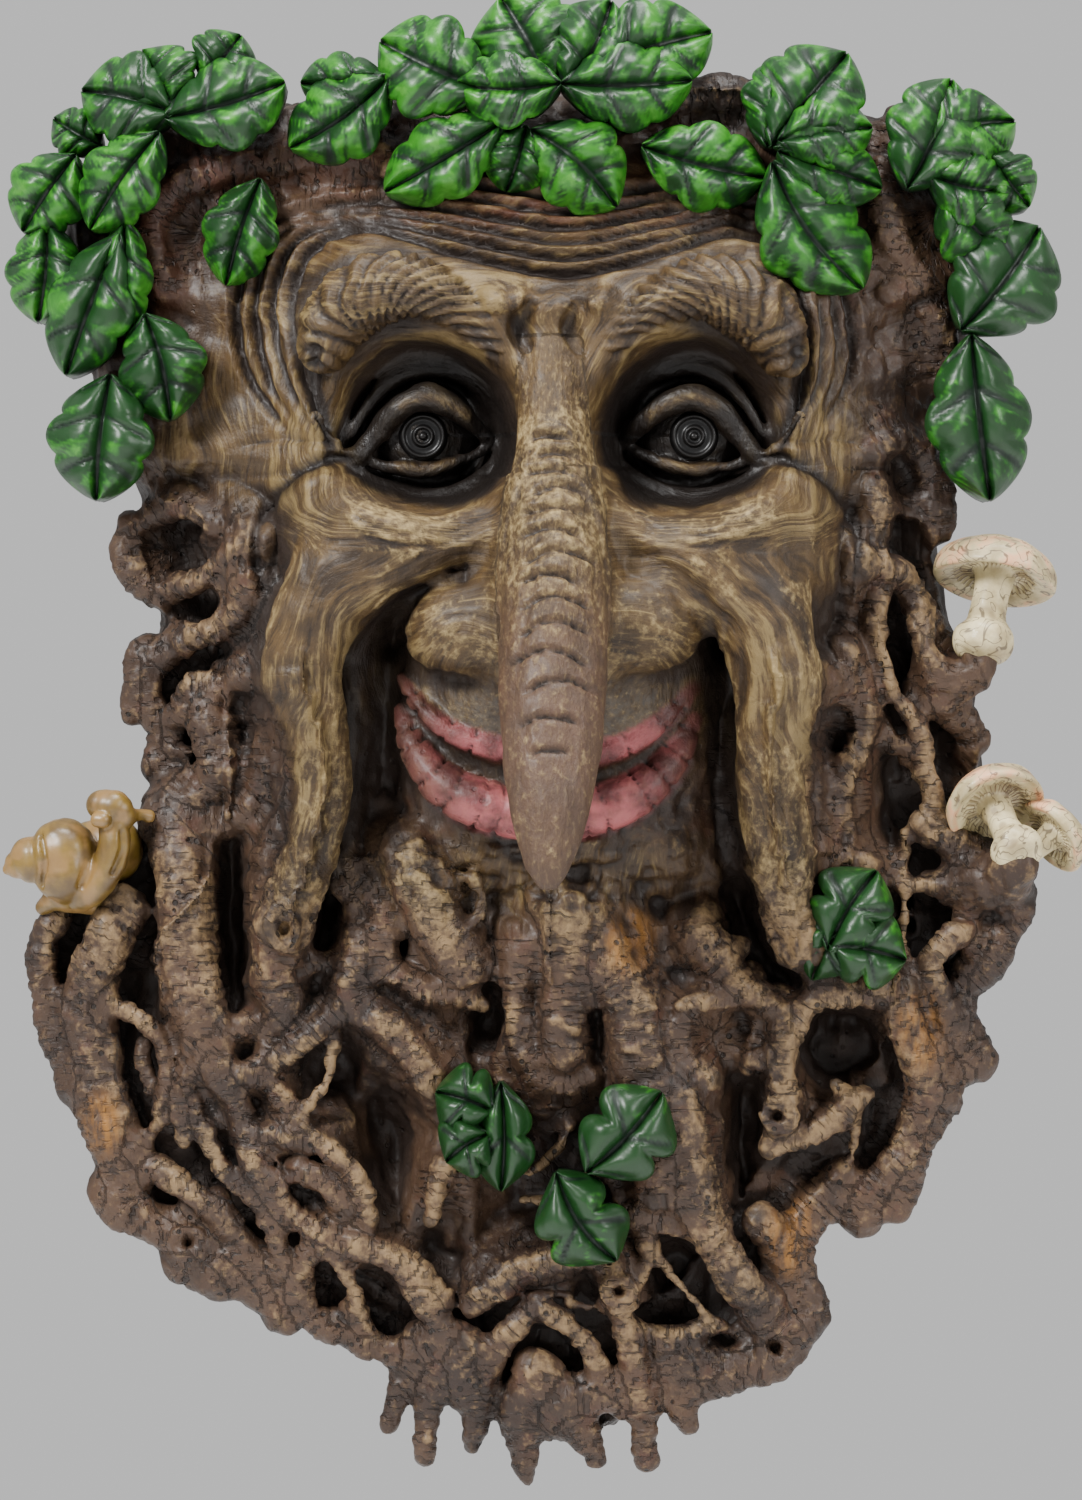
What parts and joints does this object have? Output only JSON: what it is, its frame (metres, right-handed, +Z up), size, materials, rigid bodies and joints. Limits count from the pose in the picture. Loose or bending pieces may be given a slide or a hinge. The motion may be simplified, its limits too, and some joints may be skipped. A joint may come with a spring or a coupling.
{
  "type": "green man wall plaque",
  "caption": "Wall plaque cast as a bearded tree face with a long root nose, an oak-leaf wreath, a beard of tangled roots, toadstools and a sea snail shell.",
  "frame": {"origin": "on the flat back, at the middle of the plaque's height and width as the picture frames it", "axes": "+Z up the wall, -Y out of the wall towards the viewer, +Y into the wall, +X to the viewer's right"},
  "size_m": [0.2184, 0.0842, 0.3005],
  "materials": {
    "bark_paint": "cast resin, brown with tan dry-brushing over a dark wash, satin",
    "skin_paint": "cast resin, tan with a black wash in the creases, satin",
    "leaf_paint": "cast resin, bright green over dark green, glossy",
    "lip_paint": "cast resin, pink, satin",
    "eye_paint": "cast resin, black, glossy",
    "shell_paint": "cast resin, cream yellow, satin",
    "toadstool_paint": "cast resin, cream with pink-orange tops, satin"
  },
  "bodies": {
    "root": {"plaque": "bark_paint"}
  },
  "joints": []
}
